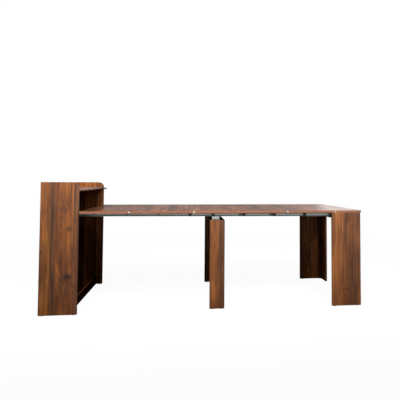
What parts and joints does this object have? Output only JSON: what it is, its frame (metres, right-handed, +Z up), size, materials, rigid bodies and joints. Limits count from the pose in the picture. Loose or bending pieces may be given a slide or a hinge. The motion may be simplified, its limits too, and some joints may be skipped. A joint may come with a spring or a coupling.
{
  "type": "extending dining table",
  "caption": "Console table that pulls out on telescopic rails to a long dining table, with loose leaves, a sliding middle leg and a tall storage cabinet at one end.",
  "frame": {"origin": "on the floor, in the middle of the extended table's length and width", "axes": "+X along the table from the cabinet to the end frame, +Y across the table to the far side, +Z up"},
  "size_m": [2.473, 0.9, 0.977],
  "materials": {
    "walnut_panel": "satin laminate, upright grain",
    "walnut_top": "satin laminate, grain across the table",
    "dark_board": "matt",
    "rail_aluminium": "anodised, satin",
    "black_plastic": "matt",
    "grey_plastic": "matt",
    "white_plastic": "satin",
    "zinc_plate": "zinc plated",
    "dark_steel": "satin"
  },
  "bodies": {
    "cabinet": {"side_panel_near": "walnut_panel", "side_panel_far": "walnut_panel", "recessed_panel": "walnut_panel", "plinth_board": "walnut_panel", "back_panel": "dark_board", "rail_bearer_near": "dark_board", "rail_bearer_far": "dark_board", "lid_pivot_pins": "dark_steel", "cabinet_glides": "black_plastic", "rail_0_near": "rail_aluminium", "rail_0_far": "rail_aluminium"},
    "storage_lid": {"storage_lid": "walnut_panel", "lid_finger_pull": "dark_steel"},
    "rail_stage_1": {"rail_1_near": "rail_aluminium", "rail_1_far": "rail_aluminium", "rail_1_end_caps": "grey_plastic"},
    "rail_stage_2": {"rail_2_near": "rail_aluminium", "rail_2_far": "rail_aluminium", "rail_2_end_caps": "grey_plastic"},
    "rail_stage_3": {"rail_3_near": "rail_aluminium", "rail_3_far": "rail_aluminium", "rail_3_end_caps": "grey_plastic"},
    "middle_leg_stage": {"rail_4_near": "rail_aluminium", "rail_4_far": "rail_aluminium", "rail_4_end_caps": "black_plastic", "middle_leg_near": "walnut_panel", "middle_leg_far": "walnut_panel", "middle_leg_top": "walnut_panel", "middle_leg_brackets": "zinc_plate", "middle_leg_glides": "black_plastic"},
    "rail_stage_5": {"rail_5_near": "rail_aluminium", "rail_5_far": "rail_aluminium", "rail_5_end_caps": "black_plastic"},
    "rail_stage_6": {"rail_6_near": "rail_aluminium", "rail_6_far": "rail_aluminium", "rail_6_end_caps": "black_plastic"},
    "rail_stage_7": {"rail_7_near": "rail_aluminium", "rail_7_far": "rail_aluminium", "rail_7_end_caps": "black_plastic"},
    "end_frame": {"rail_8_near": "rail_aluminium", "rail_8_far": "rail_aluminium", "rail_8_end_caps": "black_plastic", "end_leg_near": "walnut_panel", "end_leg_far": "walnut_panel", "end_return_near": "walnut_panel", "end_return_far": "walnut_panel", "end_apron": "walnut_panel", "end_board": "walnut_top", "end_board_plug": "white_plastic", "end_frame_glides": "black_plastic"},
    "leaf_1": {"leaf_1": "walnut_top", "leaf_1_fittings": "white_plastic"},
    "leaf_2": {"leaf_2": "walnut_top", "leaf_2_fittings": "white_plastic"},
    "leaf_3": {"leaf_3": "walnut_top", "leaf_3_fittings": "white_plastic"},
    "leaf_4": {"leaf_4": "walnut_top", "leaf_4_fittings": "white_plastic"},
    "leaf_5": {"leaf_5": "walnut_top", "leaf_5_fittings": "white_plastic"}
  },
  "joints": [
    {"name": "storage_lid_hinge", "type": "hinge", "parent": "cabinet", "child": "storage_lid", "pos_m": [-1.2025, 0, 0.918], "axis": [0, -1, 0], "range_deg": [0, 90]},
    {"name": "end_frame_slide", "type": "slide", "parent": "cabinet", "child": "end_frame", "axis": [-1, 0, 0], "range_m": [0, 1.956]},
    {"name": "rail_stage_1_slide", "type": "slide", "parent": "cabinet", "child": "rail_stage_1", "axis": [-1, 0, 0], "range_m": [0, 0.292]},
    {"name": "rail_stage_2_slide", "type": "slide", "parent": "cabinet", "child": "rail_stage_2", "axis": [-1, 0, 0], "range_m": [0, 0.539]},
    {"name": "rail_stage_3_slide", "type": "slide", "parent": "cabinet", "child": "rail_stage_3", "axis": [-1, 0, 0], "range_m": [0, 0.786]},
    {"name": "middle_leg_slide", "type": "slide", "parent": "cabinet", "child": "middle_leg_stage", "axis": [-1, 0, 0], "range_m": [0, 1.03301]},
    {"name": "rail_stage_5_slide", "type": "slide", "parent": "cabinet", "child": "rail_stage_5", "axis": [-1, 0, 0], "range_m": [0, 1.21501]},
    {"name": "rail_stage_6_slide", "type": "slide", "parent": "cabinet", "child": "rail_stage_6", "axis": [-1, 0, 0], "range_m": [0, 1.46201]},
    {"name": "rail_stage_7_slide", "type": "slide", "parent": "cabinet", "child": "rail_stage_7", "axis": [-1, 0, 0], "range_m": [0, 1.70901]},
    {"name": "leaf_1_lift", "type": "slide", "parent": "cabinet", "child": "leaf_1", "axis": [0, 0, 1], "range_m": [0, 0.13693]},
    {"name": "leaf_2_lift", "type": "slide", "parent": "cabinet", "child": "leaf_2", "axis": [0, 0, 1], "range_m": [0, 0.29341]},
    {"name": "leaf_3_lift", "type": "slide", "parent": "cabinet", "child": "leaf_3", "axis": [0, 0, 1], "range_m": [0, 0.48901]},
    {"name": "leaf_4_lift", "type": "slide", "parent": "cabinet", "child": "leaf_4", "axis": [0, 0, 1], "range_m": [0, 0.68461]},
    {"name": "leaf_5_lift", "type": "slide", "parent": "cabinet", "child": "leaf_5", "axis": [0, 0, 1], "range_m": [0, 0.88021]}
  ],
  "couplings": [
    {"joint": "rail_stage_1_slide", "follows": "end_frame_slide", "ratio": 0.14928},
    {"joint": "rail_stage_2_slide", "follows": "end_frame_slide", "ratio": 0.27556},
    {"joint": "rail_stage_3_slide", "follows": "end_frame_slide", "ratio": 0.40184},
    {"joint": "middle_leg_slide", "follows": "end_frame_slide", "ratio": 0.52812},
    {"joint": "rail_stage_5_slide", "follows": "end_frame_slide", "ratio": 0.62117},
    {"joint": "rail_stage_6_slide", "follows": "end_frame_slide", "ratio": 0.74744},
    {"joint": "rail_stage_7_slide", "follows": "end_frame_slide", "ratio": 0.87372},
    {"joint": "leaf_1_lift", "follows": "end_frame_slide", "ratio": 0.07},
    {"joint": "leaf_2_lift", "follows": "end_frame_slide", "ratio": 0.15},
    {"joint": "leaf_3_lift", "follows": "end_frame_slide", "ratio": 0.25},
    {"joint": "leaf_4_lift", "follows": "end_frame_slide", "ratio": 0.35},
    {"joint": "leaf_5_lift", "follows": "end_frame_slide", "ratio": 0.45}
  ]
}
